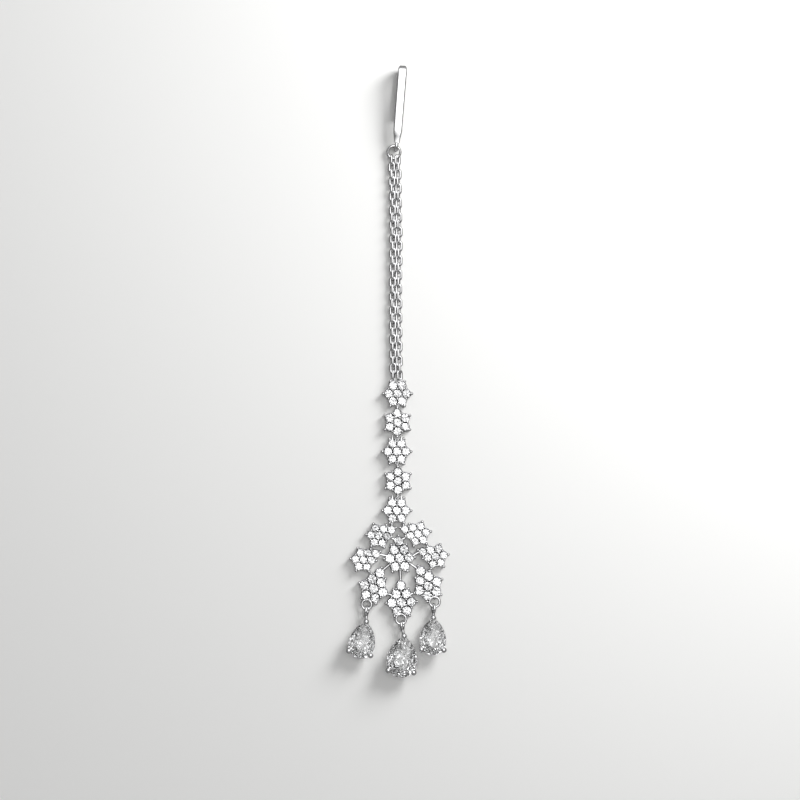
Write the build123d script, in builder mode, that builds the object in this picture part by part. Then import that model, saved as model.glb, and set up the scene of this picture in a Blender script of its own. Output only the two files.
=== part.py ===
from build123d import *
import os
from math import asin, atan2, cos, degrees, pi, radians, sin, sqrt, tan

# A maang tikka laid on its back on a flat surface: hook towards +Y, stones facing +Z, in millimetres.
# The origin is on the surface, under the middle of the whole piece.
# Round stones and single chain links are finer than this model goes; it holds their seats and strands.

# --- hook ---
hook_eye_at = (-0.20, 51.70)     # middle of the eye, seen from above
hook_lean = 4.6                  # degrees that the hook turns from +Y towards +X
hook_reach = 18.4                # eye to the outside of the bend
hook_width = 2.0
hook_thickness = 1.1
hook_edge_round = 0.495
hook_bend_radius = 1.45
hook_front_rise = 0.2            # front leg, above the height that the bend alone gives
hook_back_leg = 11.5             # outside of the bend to the free tip
hook_neck_length = 3.0
hook_neck_angle = 38             # where the neck leaves the eye, in degrees above the strip's line
hook_eye_wire = 0.8
hook_eye_radius = 0.9            # middle of the wire

# --- ring between hook and chains ---
hook_ring_at = (-0.75, 50.35)
hook_ring_radius = 1.43
hook_ring_wire = 0.44
hook_ring_low = 0.75             # height of its chain side

# --- two strands of cable chain ---
strand_diameter = 1.48
strand_spacing = 1.6
strand_clear = 0.12              # between a strand's end and what it hangs on
strand_rest = 0.02               # above the surface
strand_bend_share = 0.45         # of the shorter straight at each corner that its bend takes up
chain_line = [                   # x and y of the pair's middle line, from the hook down
    (-0.62, 48.3), (-0.45, 41.0), (-0.28, 31.0), (-0.38, 20.0), (-0.33, 10.0), (-0.31, 4.2),
]

# --- settings for round stones ---
plate_height = 1.25
seat_depth = 0.30
bead_radius = 0.21
bead_height = 1.62
claw_radius = 0.24
claw_height = 1.70
post_slope = 35                  # degrees, at the top of each bead and claw
seat_slope = 40                  # degrees, at the mouth of each bore
flower_pitch = 2.05              # between neighbouring stones
small_pitch = 1.84
large_pitch = 2.23
collet_wall = 0.05               # each collet is this much wider than half the pitch
bore_share = 0.27                # bore radius as a share of the pitch
claw_reach = 0.50                # in pitches: a claw's middle outside its petal's middle
claw_extra = 0.11                # added to that

# --- small loops that link the pieces ---
loop_wire = 0.26
loop_height = 0.90
notch_eye_at = 2.62              # flower middle to the middle of its end eye
notch_eye_radius = 0.34
loop_root = 3.05                 # flower middle to where an end loop grows out of a petal
drop_loop_at = 2.83              # fan unit's middle to the middle of its drop loop
drop_loop_radius = 0.50
drop_loop_wire = 0.30
chain_eye_spread = 1.10          # the two chain eyes either side of the first flower's middle
chain_eye_at = 3.12              # and above it
chain_eye_radius = 0.42

# --- string of four flowers, and the fan's top flower: place and turn of the first petal ---
flower_rows = [
    ("flower_1", 0.03, -5.05, 0),
    ("flower_2", 0.01, -11.65, 30),
    ("flower_3", -0.13, -18.30, 0),
    ("flower_4", 0.12, -25.10, 30),
    ("fan", -0.13, -31.85, 0),
]

# --- the fan's eight units of eight stones, in the fan's own axes ---
fan_at = (0.49, -42.77)
fan_turn = 2.6
unit_rows = {                    # x, y, direction of the eighth stone, pitch, carries a drop
    "middle": (0.0, 0.0, 90, large_pitch, False),
    "upper_left": (-4.49, 5.36, 22, small_pitch, False),
    "upper_right": (4.49, 5.36, 158, small_pitch, False),
    "side_left": (-8.28, 0.0, 23, small_pitch, False),
    "side_right": (8.28, 0.0, 157, small_pitch, False),
    "lower_left": (-6.26, -6.72, 66, large_pitch, True),
    "lower_right": (6.26, -6.72, 114, large_pitch, True),
    "lower_middle": (0.0, -10.18, 90, large_pitch, True),
}
bar_radius = 0.21
bar_height = 0.75
bar_rows = [                     # ends of the soldered bars, in the fan's axes
    ((-2.67, 5.10), (0.0, 3.86)), ((2.67, 5.10), (0.0, 3.86)),
    ((-5.35, 1.26), (-2.23, 0.40)), ((5.35, 1.60), (2.23, -0.10)),
    ((-2.23, -1.29), (-4.69, -3.19)), ((2.23, -1.29), (4.69, -3.19)),
    ((0.0, -2.58), (0.0, -6.32)),
    ((-5.62, 3.91), (-7.18, 1.47)), ((5.62, 3.91), (7.18, 1.47)),
    ((-7.55, -1.69), (-6.49, -4.50)), ((7.55, -1.69), (6.49, -4.50)),
    ((-4.22, -7.63), (-1.12, -8.90)), ((4.22, -7.63), (1.12, -8.90)),
]

# --- three pear drops: place of the round end's middle, lean, stone, ring and loop ---
ring_wire = 0.40
ring_height = 0.95
ring_clear = 0.06                # room round a ring where it passes a collet
drop_rows = {
    "left": dict(at=(-8.22, -62.50), lean=12.0, width=6.1, length=8.4,
                 ring=(-7.03, -53.42), ring_radius=1.10, loop=(-7.00, -54.89), loop_radius=0.87),
    "centre": dict(at=(1.02, -66.34), lean=5.0, width=7.0, length=9.4,
                   ring=(0.84, -56.78), ring_radius=1.15, loop=(1.15, -58.20), loop_radius=0.77),
    "right": dict(at=(8.09, -61.70), lean=1.3, width=6.1, length=8.4,
                  ring=(8.57, -52.82), ring_radius=1.15, loop=(8.36, -54.34), loop_radius=0.87),
}
pavilion_share = 0.40            # of the stone's width
crown_share = 0.16
girdle = 0.12
table_scale = 0.60
culet_scale = 0.05
culet_height = 0.25
stone_gap = 0.03                 # between a pear stone and its setting
prong_wire = 0.56
prong_ball = 1.04
prong_angle = 36                 # of the two lower prongs, below the round end's sides
prong_foot = (-1.80, 0.28)       # distance outside the girdle, and height above the surface
prong_shoulder = (0.30, -0.25)   # the same, with the height from the girdle's underside
prong_tip = (0.10, 0.60)
gallery_rows = [                 # distance of the two gallery wires inside the girdle, and height
    (1.55, 0.0), (0.60, 1.25),
]
gallery_wire = 0.42
stem_loop_wire = 0.36
stem_wire = 0.50
stem_reach = 0.90                # the stem's inner end inside the stone's point


def polar(centre, distance, angle):
    """The point at a distance and an angle in degrees from a centre, in plan."""
    return (
        centre[0] + distance * cos(radians(angle)),
        centre[1] + distance * sin(radians(angle)),
    )


def fan_point(x, y):
    """A point in the fan's own axes, in the piece's axes."""
    turn = radians(fan_turn)
    return (
        fan_at[0] + x * cos(turn) - y * sin(turn),
        fan_at[1] + x * sin(turn) + y * cos(turn),
    )


def middle(first, second):
    return tuple((a + b) / 2 for a, b in zip(first, second))


def rod(start, end, radius):
    """Adds a round bar between two points to the part being built."""
    run = Vector(*end) - Vector(*start)
    with BuildSketch(Plane(origin=start, z_dir=run)) as section:
        Circle(radius)
    extrude(section.sketch, amount=run.length)


def bar(start, end):
    """Adds one of the fan's soldered bars between two points in plan."""
    rod((*start, bar_height), (*end, bar_height), bar_radius)


def flat_ring(place, height, radius, wire, mode=Mode.ADD):
    """Adds a ring that lies flat, or cuts the room for one."""
    with Locations((*place, height)):
        Torus(radius, wire / 2, mode=mode)


def upright_ring(place, height, radius, wire, direction):
    """Adds a ring that stands on edge, with its plane along a direction in plan."""
    axle = polar((0, 0), 1, direction - 90)
    with Locations(Plane(origin=(*place, height), z_dir=(*axle, 0))):
        Torus(radius, wire / 2)


def upright_loop(start, end, height, wire):
    """Adds a ring on edge that passes through two points in plan."""
    run = Vector(*end) - Vector(*start)
    upright_ring(middle(start, end), height, run.length / 2, wire, degrees(atan2(run.Y, run.X)))


def flower_sites(centre, pitch, turn, open_notches=()):
    """Seats, beads and claws of a centre stone with six petals, the first petal at a turn.

    A notch that holds an eye or a loop has no bead.
    """
    petals = [turn + 60 * k for k in range(6)]
    seats = [centre] + [polar(centre, pitch, a) for a in petals]
    beads = [polar(centre, pitch / sqrt(3), a + 30) for a in petals]
    beads += [
        polar(centre, 2 * pitch / sqrt(3), a + 30) for a in petals if (a + 30) % 360 not in open_notches
    ]
    reach = pitch * (1 + claw_reach) + claw_extra
    claws = [polar(centre, reach, a) for a in petals]
    return seats, beads, claws, pitch


def unit_sites(centre, pitch, point, drops):
    """The same for a flower with an eighth stone in one notch, in the direction it points.

    The opposite notch is left open for a loop where the unit carries a drop.
    """
    open_notches = [(point + 180) % 360] if drops else []
    seats, beads, claws, pitch = flower_sites(centre, pitch, point + 30, open_notches)
    eighth = polar(centre, sqrt(3) * pitch, point)
    seats.append(eighth)
    claws.append(polar(eighth, claw_reach * pitch + claw_extra, point))
    beads += [polar(eighth, pitch / sqrt(3), point + side) for side in (-120, 120)]
    return seats, beads, claws, pitch


def circles(height, places_and_radii):
    """A sketch of circles at a height."""
    with BuildSketch(Plane.XY.offset(height)) as drawn:
        for places, radius in places_and_radii:
            with Locations(*places):
                Circle(radius)
    return drawn.sketch


def posts(places_and_radii, radius, height):
    """Adds round posts from the surface up, each with a tapered top."""
    shoulder = height - radius / 2
    extrude(circles(0, places_and_radii), amount=shoulder)
    extrude(circles(shoulder, places_and_radii), amount=height - shoulder, taper=post_slope)


def stone_setting(units):
    """Adds the plate of collets, opened under each stone, with its beads and claws.

    Each unit is its seats, beads and claws, and the pitch of its stones.
    """
    collets = [(seats, pitch / 2 + collet_wall) for seats, beads, claws, pitch in units]
    bores = [(seats, pitch * bore_share) for seats, beads, claws, pitch in units]
    extrude(circles(0, collets), amount=plate_height)
    extrude(circles(0, bores), amount=plate_height, mode=Mode.SUBTRACT)
    extrude(circles(plate_height - seat_depth, bores), amount=seat_depth, taper=-seat_slope, mode=Mode.SUBTRACT)
    bead_posts = [(beads, bead_radius) for seats, beads, claws, pitch in units]
    claw_posts = [(claws, claw_radius) for seats, beads, claws, pitch in units]
    posts(bead_posts, bead_radius, bead_height)
    posts(claw_posts, claw_radius, claw_height)


def end_links(number):
    """Adds the eyes or loops that join a flower of the string to its neighbours.

    A flower with a notch at its ends has flat eyes there, one with petals has upright loops.
    """
    name, x, y, turn = flower_rows[number]
    for other, end in flower_ends(number):
        if turn == 0:
            flat_ring(polar((x, y), notch_eye_at, end), loop_height, notch_eye_radius, loop_wire)
        else:
            eye = polar(other, notch_eye_at, end + 180)
            upright_loop(polar((x, y), loop_root, end), eye, loop_height, loop_wire)


def flower_ends(number):
    """Each neighbour's middle, and the direction to it along the string."""
    y = flower_rows[number][2]
    neighbours = [flower_rows[n][1:3] for n in (number - 1, number + 1) if 0 <= n < len(flower_rows)]
    return [(other, 90 if other[1] > y else 270) for other in neighbours]


def pear(radius, side_radius, plane):
    """A pear outline: a round end about the plane's origin, and two side arcs that meet at a point in +Y."""
    point = sqrt(side_radius**2 - (side_radius - radius) ** 2)
    with BuildSketch(plane) as drawn:
        with BuildLine():
            ThreePointArc((-radius, 0), (0, -radius), (radius, 0))
            TangentArc((radius, 0), (0, point), tangent=(0, 1))
            TangentArc((-radius, 0), (0, point), tangent=(0, 1))
        make_face()
    return drawn.sketch


def pear_stone(width, length, base, grown=0.0):
    """Adds a pear stone, table up, or one that is larger all round, as room for it."""
    radius = width / 2
    side = (radius**2 + (length - radius) ** 2) / width
    low = culet_height + pavilion_share * width - grown
    top = low + girdle + 2 * grown
    table = top + crown_share * width
    full = pear(radius + grown, side + grown, base.offset(low))
    culet = pear(radius * culet_scale, side * culet_scale, base.offset(culet_height - grown))
    loft([culet.face(), full.face()])
    extrude(full, amount=top - low)
    edge = pear(radius + grown, side + grown, base.offset(top))
    crown = pear(radius * table_scale + grown, side * table_scale + grown, base.offset(table))
    loft([edge.face(), crown.face()])


def write(piece, label):
    piece.part.label = label
    export_step(piece.part, f"parts/{label}.step")
    print(label, "volume", round(piece.part.volume, 2), "solids", len(piece.part.solids()))


os.makedirs("parts", exist_ok=True)

# Hook: a bent strip with rounded edges, a tapered neck and an eye.
along = (sin(radians(hook_lean)), cos(radians(hook_lean)), 0)
across = (along[1], -along[0], 0)
eye_middle = hook_eye_radius + hook_eye_wire / 2
hook_side = Plane(origin=(*hook_eye_at, 0), x_dir=along, z_dir=across)
bend_out = hook_reach - hook_thickness / 2
back_height = hook_thickness / 2
front_height = back_height + 2 * hook_bend_radius + hook_front_rise
neck_end = polar((0, eye_middle), hook_eye_radius, hook_neck_angle)
slope = (front_height - neck_end[1]) / (bend_out - neck_end[0])
leg_start = (neck_end[0] + hook_neck_length, neck_end[1] + slope * hook_neck_length)
with BuildPart() as hook:
    with BuildLine(hook_side):
        FilletPolyline(
            leg_start,
            (bend_out, front_height),
            (bend_out, back_height),
            (hook_reach - hook_back_leg, back_height),
            radius=[hook_bend_radius, hook_bend_radius],
        )
    start = hook_side.from_local_coords(Vector(*leg_start))
    leg_direction = hook_side.from_local_coords(Vector(bend_out, front_height)) - start
    with BuildSketch(Plane(origin=start, x_dir=across, z_dir=leg_direction)):
        RectangleRounded(hook_width, hook_thickness, hook_edge_round)
    sweep()
    with BuildSketch(Plane(origin=start, x_dir=across, z_dir=leg_direction)):
        RectangleRounded(hook_width, hook_thickness, hook_edge_round)
    neck = hook_side.from_local_coords(Vector(*neck_end))
    with BuildSketch(Plane(origin=neck, x_dir=across, z_dir=leg_direction)):
        Circle(hook_eye_wire / 2)
    loft()
    upright_ring(hook_eye_at, eye_middle, hook_eye_radius, hook_eye_wire, 90 - hook_lean)
write(hook, "hook")

# Ring between the hook's eye and the two strands, lower on the strands' side.
hook_ring_rise = eye_middle - hook_ring_low
hook_ring_tilt = degrees(asin(hook_ring_rise / (2 * hook_ring_radius)))
with BuildPart() as hook_ring:
    with Locations(Location((*hook_ring_at, eye_middle - hook_ring_rise / 2), (hook_ring_tilt, 0, 0))):
        Torus(hook_ring_radius, hook_ring_wire / 2)
write(hook_ring, "hook_ring")

# Two strands, each one tube along its line, from the hook's ring to an eye of the first flower.
strand_height = strand_diameter / 2 + strand_rest
first_flower = flower_rows[0][1:3]
chain_eyes = []
for name, side in (("chain_left", -1), ("chain_right", 1)):
    eye = (first_flower[0] + side * chain_eye_spread, first_flower[1] + chain_eye_at)
    chain_eyes.append(eye)
    route = [(x + side * strand_spacing / 2, y, strand_height) for x, y in chain_line]
    route.append((eye[0], eye[1] + chain_eye_radius + loop_wire / 2 + strand_clear, strand_height))
    radii = []
    for before, corner, after in zip(route, route[1:], route[2:]):
        run_in = Vector(*corner) - Vector(*before)
        run_out = Vector(*after) - Vector(*corner)
        turn = radians(run_in.get_angle(run_out))
        radii.append(strand_bend_share * min(run_in.length, run_out.length) / tan(turn / 2))
    print(name, "bend radii", [round(r, 1) for r in radii])
    with BuildPart() as strand:
        with BuildLine() as line:
            FilletPolyline(*route, radius=radii)
        path = line.wires()[0]
        with BuildSketch(Plane(origin=path @ 0, z_dir=path % 0)):
            Circle(strand_diameter / 2)
        sweep()
    print(name, "section x length", round(pi / 4 * strand_diameter**2 * path.length, 2))
    write(strand, name)

# Four flowers of the string; the first also has an eye for each strand.
for number, (name, x, y, turn) in enumerate(flower_rows[:-1]):
    with BuildPart() as flower:
        stone_setting([flower_sites((x, y), flower_pitch, turn, [end for other, end in flower_ends(number)])])
        end_links(number)
        if number == 0:
            for eye in chain_eyes:
                flat_ring(eye, loop_height, chain_eye_radius, loop_wire)
    write(flower, name)

# Fan: a top flower and eight units soldered together by short bars, with a loop for each drop.
top_flower = flower_rows[-1][1:3]
fan_units = [flower_sites(top_flower, flower_pitch, 0, [90])]
for x, y, point, pitch, drops in unit_rows.values():
    seats, beads, claws, pitch = unit_sites((x, y), pitch, point, drops)
    fan_units.append((*([fan_point(*place) for place in places] for places in (seats, beads, claws)), pitch))
with BuildPart() as fan:
    for start, end in bar_rows:
        bar(fan_point(*start), fan_point(*end))
    for unit, petal in (("upper_left", 240), ("upper_right", 300)):
        x, y, point, pitch, drops = unit_rows[unit]
        eighth = fan_point(*polar((x, y), sqrt(3) * pitch, point))
        bar(polar(top_flower, flower_pitch, petal), eighth)
    stone_setting(fan_units)
    for row in drop_rows.values():
        flat_ring(row["ring"], ring_height, row["ring_radius"], ring_wire + 2 * ring_clear, Mode.SUBTRACT)
    for x, y, point, pitch, drops in unit_rows.values():
        if drops:
            place = fan_point(*polar((x, y), drop_loop_at, point + 180))
            upright_ring(place, ring_height, drop_loop_radius, drop_loop_wire, point + fan_turn)
    end_links(len(flower_rows) - 1)
write(fan, "fan")

# Drops: a flat ring, a pear stone, and its three-claw setting with a stem and a loop on edge.
for name, row in drop_rows.items():
    radius = row["width"] / 2
    point_at = row["length"] - radius
    side = (radius**2 + point_at**2) / row["width"]
    lean = radians(row["lean"])
    base = Plane(origin=(*row["at"], 0), x_dir=(cos(lean), -sin(lean), 0), z_dir=(0, 0, 1))
    girdle_low = culet_height + pavilion_share * row["width"]

    with BuildPart() as drop_ring:
        flat_ring(row["ring"], ring_height, row["ring_radius"], ring_wire)
    write(drop_ring, f"drop_ring_{name}")

    with BuildPart() as stone:
        pear_stone(row["width"], row["length"], base)
    write(stone, f"pear_{name}")

    with BuildPart() as room:
        pear_stone(row["width"], row["length"], base, stone_gap)

    with BuildPart() as setting:
        for inset, height in gallery_rows:
            outer = pear(radius - inset, side - inset, base.offset(height))
            inner = pear(radius - inset - gallery_wire, side - inset - gallery_wire, base.offset(height))
            extrude(outer - inner, amount=gallery_wire)
        for angle, edge in ((90, point_at), (-prong_angle, radius), (180 + prong_angle, radius)):
            stops = []
            for stop, level in ((prong_foot, 0), (prong_shoulder, girdle_low), (prong_tip, girdle_low)):
                outside, above = stop
                x, y = polar((0, 0), edge + outside, angle)
                stops.append(tuple(base.from_local_coords(Vector(x, y, level + above))))
            foot, shoulder, tip = stops
            rod(foot, shoulder, prong_wire / 2)
            rod(shoulder, tip, prong_wire / 2)
            with Locations(shoulder):
                Sphere(prong_wire / 2)
            with Locations(tip):
                Sphere(prong_ball / 2)
        loop_height_here = row["loop_radius"] + stem_loop_wire / 2 + strand_rest
        inner_end = base.from_local_coords(Vector(0, point_at - stem_reach, loop_height_here))
        direction = degrees(atan2(inner_end.Y - row["loop"][1], inner_end.X - row["loop"][0]))
        upright_ring(row["loop"], loop_height_here, row["loop_radius"], stem_loop_wire, direction)
        outer_end = polar(row["loop"], row["loop_radius"], direction)
        rod((*outer_end, loop_height_here), tuple(inner_end), stem_wire / 2)
        add(room.part, mode=Mode.SUBTRACT)
    write(setting, f"drop_setting_{name}")
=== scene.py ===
from math import acos, asin, atan2, cos, degrees, pi, radians, sin, sqrt
from random import Random

import bmesh
import bpy
from bpy.props import FloatProperty, FloatVectorProperty, IntProperty, PointerProperty
from bpy.types import Operator, Panel, PropertyGroup
from mathutils import Matrix, Vector
from mathutils.geometry import intersect_line_sphere_2d


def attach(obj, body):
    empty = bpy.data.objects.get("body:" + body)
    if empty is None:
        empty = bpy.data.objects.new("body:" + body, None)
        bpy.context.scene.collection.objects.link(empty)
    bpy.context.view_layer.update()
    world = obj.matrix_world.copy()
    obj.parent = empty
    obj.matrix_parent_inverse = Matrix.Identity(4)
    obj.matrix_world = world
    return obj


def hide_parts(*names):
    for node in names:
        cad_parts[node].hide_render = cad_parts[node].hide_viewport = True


bl_info = {
    "name": "Maang Tikka",
    "version": (1, 0, 0),
    "blender": (4, 5, 0),
    "location": "3D View > Sidebar > Tikka",
    "description": "Builds a stone-set maang tikka around its packed frame",
    "category": "Object",
}

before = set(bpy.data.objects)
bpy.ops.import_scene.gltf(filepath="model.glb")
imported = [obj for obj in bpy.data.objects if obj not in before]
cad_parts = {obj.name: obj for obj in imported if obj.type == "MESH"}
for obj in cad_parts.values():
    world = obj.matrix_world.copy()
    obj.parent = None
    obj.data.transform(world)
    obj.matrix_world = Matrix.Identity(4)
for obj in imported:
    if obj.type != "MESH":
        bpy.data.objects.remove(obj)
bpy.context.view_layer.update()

MM = 0.001
UP = Vector((0.0, 0.0, 1.0))
WELD = 1e-7          # metres within which vertices are one
FLAT = 0.5           # degrees within which two facets are one
CAST_EDGE = 50       # degrees past which an edge of a cast piece stays sharp
DRAWN_EDGE = 60      # the same for drawn wire and strip

# Places in the tables are seen from above, in millimetres. Directions are in degrees from +X.

# String of flowers, whose last one tops the fan: name, place and direction of the first petal.
FLOWERS = [
    ("flower_1", 0.03, -5.05, 0),
    ("flower_2", 0.01, -11.65, 30),
    ("flower_3", -0.13, -18.30, 0),
    ("flower_4", 0.12, -25.10, 30),
    ("fan", -0.13, -31.85, 0),
]
TOP = len(FLOWERS) - 1

# The fan's own axes, and its units in them: place, direction of the eighth stone, size of the pitch, and
# whether a drop hangs on it.
FAN_AT = (0.49, -42.77)
FAN_TURN = 2.6
UNITS = {
    "middle": (0.0, 0.0, 90, "large", False),
    "upper_left": (-4.49, 5.36, 22, "small", False),
    "upper_right": (4.49, 5.36, 158, "small", False),
    "side_left": (-8.28, 0.0, 23, "small", False),
    "side_right": (8.28, 0.0, 157, "small", False),
    "lower_left": (-6.26, -6.72, 66, "large", True),
    "lower_right": (6.26, -6.72, 114, "large", True),
    "lower_middle": (0.0, -10.18, 90, "large", True),
}

# Ends of the soldered bars in the fan's axes, and the top flower's seats that a bar joins to a unit.
BARS = [
    ((-2.67, 5.10), (0.0, 3.86)), ((2.67, 5.10), (0.0, 3.86)),
    ((-5.35, 1.26), (-2.23, 0.40)), ((5.35, 1.60), (2.23, -0.10)),
    ((-2.23, -1.29), (-4.69, -3.19)), ((2.23, -1.29), (4.69, -3.19)),
    ((0.0, -2.58), (0.0, -6.32)),
    ((-5.62, 3.91), (-7.18, 1.47)), ((5.62, 3.91), (7.18, 1.47)),
    ((-7.55, -1.69), (-6.49, -4.50)), ((7.55, -1.69), (6.49, -4.50)),
    ((-4.22, -7.63), (-1.12, -8.90)), ((4.22, -7.63), (1.12, -8.90)),
]
TOP_BARS = {"upper_left": 5, "upper_right": 6}

# Pear drops: place of the round end's middle, lean of the stone from +Y, its size, the jump ring, and the
# stem's loop with its twist.
DROPS = {
    "left": dict(at=(-8.22, -62.50), lean=12.0, width=6.1, length=8.4, ring=(-7.03, -53.42),
                 ring_radius=1.10, loop=(-7.00, -54.89), loop_radius=0.87, twist=14),
    "centre": dict(at=(1.02, -66.34), lean=5.0, width=7.0, length=9.4, ring=(0.84, -56.78),
                   ring_radius=1.15, loop=(1.15, -58.20), loop_radius=0.77, twist=16),
    "right": dict(at=(8.09, -61.70), lean=1.3, width=6.1, length=8.4, ring=(8.57, -52.82),
                  ring_radius=1.15, loop=(8.36, -54.34), loop_radius=0.87, twist=-12),
}

# Middle line of the pair of strands, from the hook down, and how far to the sides of the first flower's
# middle the eyes are that they end in.
CHAIN_LINE = [(-0.62, 48.55), (-0.45, 41.0), (-0.28, 31.0), (-0.38, 20.0), (-0.33, 10.0), (-0.31, 4.2)]
CHAIN_EYES = {"left": -0.97, "right": 0.50}

# Middles of the hook's eye, of its jump ring and of the view, and where the key light points.
HOOK_EYE_AT = (-0.20, 51.70)
HOOK_RING_AT = (-0.75, 50.35)
VIEW_AT = (0.61, -6.50)
KEY_AIM = (0.0, -10.0)

# The hook's free tip: length of each step in millimetres, and what is left of the section after it.
HOOK_TIP = [(0.22, 0.90), (0.18, 0.78), (0.10, 0.55)]
NECK_STEPS = 4

# Profile of a cup, from the inside of its foot out and up and back down inside: distance from the middle in
# half pitches, and height in cup heights. Then its wall's radius in pitches, where bars meet it.
CUP = [
    (0.56, 0.0), (1.02, 0.0), (1.04, 0.10), (1.02, 0.22), (0.84, 0.30), (0.82, 0.55),
    (0.90, 0.85), (0.915, 0.97), (0.88, 1.0), (0.80, 0.95), (0.60, 0.66), (0.56, 0.5),
]
CUP_WALL = 0.43
SHADE_TOP = 1.6      # cup heights at which the shade low in the cups has faded away

# Pointed claws on a flower's two upper petals: distance beyond the seat, height and radius of their ends.
POINT_ROOT = dict(beyond=0.65, height=1.20, radius=0.40)
POINT_TIP = dict(beyond=1.85, height=1.00, radius=0.06)

# Gallery under a pear: how far inside the outline each wire runs, and its height.
GALLERY = [(1.75, 0.23), (0.80, 1.46)]

# Prong of a pear, from its foot up: distance outside the outline, whether its height counts from the
# girdle, and the height.
PRONG = [(-1.80, 0, 0.28), (-0.55, 1, -1.25), (0.30, 1, -0.25), (0.10, 1, 0.60)]

# Pear stones: height of the culet, and depth of the pavilion in widths of the stone.
CULET_HEIGHT = 0.25
PAVILION = 0.40
HALF_GIRDLE = 0.06

# Facets of the pears that are broken up: range of the upward part of their normals, and the size and
# unevenness of what they are broken into, in widths of the stone.
BROKEN_UP = [(-1.0, -0.2, 0.136, 0.0215), (0.2, 0.95, 0.114, 0.007)]

# Sky: upward part of the directions between which the horizon's brightness gives way to the wall's, and
# strength of the noise between which a patch of it turns bright.
HORIZON_EDGE = (0.16, 0.27)
PATCH_EDGE = (0.53, 0.56)
SOFT_EDGE = 6.0      # degrees on either side of a panel's edge over which its light falls away
SENSOR = 36.0        # millimetres


def length_property(name, description, default):
    return FloatProperty(name=name, description=description, default=default * MM,
                         min=0.0, precision=5, unit="LENGTH", subtype="DISTANCE")


def angle_property(name, description, default):
    return FloatProperty(name=name, description=description, default=radians(default),
                         unit="ROTATION", subtype="ANGLE")


def share_property(name, description, default):
    return FloatProperty(name=name, description=description, default=default,
                         min=0.0, max=1.0, subtype="FACTOR")


def colour_property(name, description, default):
    return FloatVectorProperty(name=name, description=description, default=default,
                               size=3, min=0.0, max=1.0, subtype="COLOR")


class TikkaHook(PropertyGroup):
    width: length_property("Width", "Width of the strip", 2.0)
    thickness: length_property("Thickness", "Thickness of the strip", 1.1)
    edge: share_property("Edge", "Rounding of the strip's edges, as a share of its thickness", 0.27)
    reach: length_property("Reach", "Eye's middle to the outside of the bend", 18.4)
    back_leg: length_property("Back leg", "Outside of the bend to the free tip", 11.5)
    bend_round: length_property("Bend round", "Length over which the strip narrows to its bend", 1.3)
    bend_narrow: share_property("Bend narrow", "Share of its width that the strip loses at the bend", 0.32)
    front_height: length_property("Front height", "Height of the front leg's middle at the bend", 3.65)
    neck: length_property("Neck", "Length of the taper above the eye", 3.0)
    neck_width: length_property("Neck width", "Width of the taper's end at the eye", 1.25)
    neck_thickness: length_property("Neck thickness", "Thickness of the taper's end at the eye", 0.76)
    neck_angle: angle_property("Neck angle", "Where the neck leaves the eye, above the strip's line", 38.0)
    eye_radius: length_property("Eye", "Radius to the middle of the eye's wire", 0.9)
    eye_wire: length_property("Eye wire", "Thickness of the eye's wire", 0.8)
    ring_radius: length_property("Ring", "Radius to the middle of the jump ring's wire", 1.43)
    lean: angle_property("Lean", "Turn of the hook from the piece's length towards the right", 4.6)


class TikkaChain(PropertyGroup):
    spacing: length_property("Spacing", "Between the middles of the two strands", 1.36)
    wire: length_property("Wire", "Thickness of the links' wire", 0.55)
    width: length_property("Link width", "Outside width of a link", 1.68)
    play: length_property("Play", "Slack between two links", 0.012)
    height: length_property("Height", "Height of the strands' middles", 0.84)
    end_gap: length_property("End gap", "Middle of the last link above the eye that it hangs in", 1.06)
    links: IntProperty(name="Links", description="Links in each strand", default=31, min=3)
    twist: angle_property("Twist", "Roll of the links away from a strand's ends", 18.0)
    sway: angle_property("Sway", "How far a link may roll from its place", 9.0)


class TikkaStones(PropertyGroup):
    flower_pitch: length_property("Flower pitch", "Between neighbouring stones of a flower", 2.05)
    small_pitch: length_property("Small pitch", "Between neighbouring stones of a small unit", 1.84)
    large_pitch: length_property("Large pitch", "Between neighbouring stones of a large unit", 2.23)
    share: share_property("Stone", "Stone's diameter as a share of the pitch", 0.89)
    girdle_height: length_property("Girdle height", "Height of the round stones' girdles", 1.36)
    tilt: angle_property("Tilt", "How far a stone may sit out of level", 5.0)
    round_clarity: share_property("Round clarity", "How clear the round stones are", 0.99)
    pear_clarity: share_property("Pear clarity", "How clear the pears are", 0.985)
    ior: FloatProperty(name="IOR", description="Index of refraction of the stones", default=2.15, min=1.0)


class TikkaSettings(PropertyGroup):
    bead: length_property("Bead", "Radius of the beads between stones", 0.27)
    bead_height: length_property("Bead height", "Top of the beads between stones", 1.66)
    claw: length_property("Claw", "Radius of the claws at the petals' tips", 0.34)
    claw_height: length_property("Claw height", "Top of the claws", 1.72)
    claw_gap: length_property("Claw gap", "Claw's middle beyond its petal's edge", 0.20)
    plate: length_property("Cup height", "Height of the cups that hold the stones", 1.22)
    prong_wire: length_property("Prong wire", "Thickness of the pears' prongs", 0.56)
    prong_ball: length_property("Prong ball", "Diameter of the ball that tips each prong", 1.25)
    prong_angle: angle_property("Prong angle", "Lower prongs, below the round end's sides", 36.0)
    gallery_wire: length_property("Gallery wire", "Thickness of the wires under a pear", 0.46)
    stem: length_property("Stem", "Radius of a pear's stem", 0.34)
    stem_reach: length_property("Stem reach", "Stem's inner end inside the stone's point", 0.90)
    stem_loop_wire: length_property("Stem loop wire", "Thickness of the stem's loop", 0.66)


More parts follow.
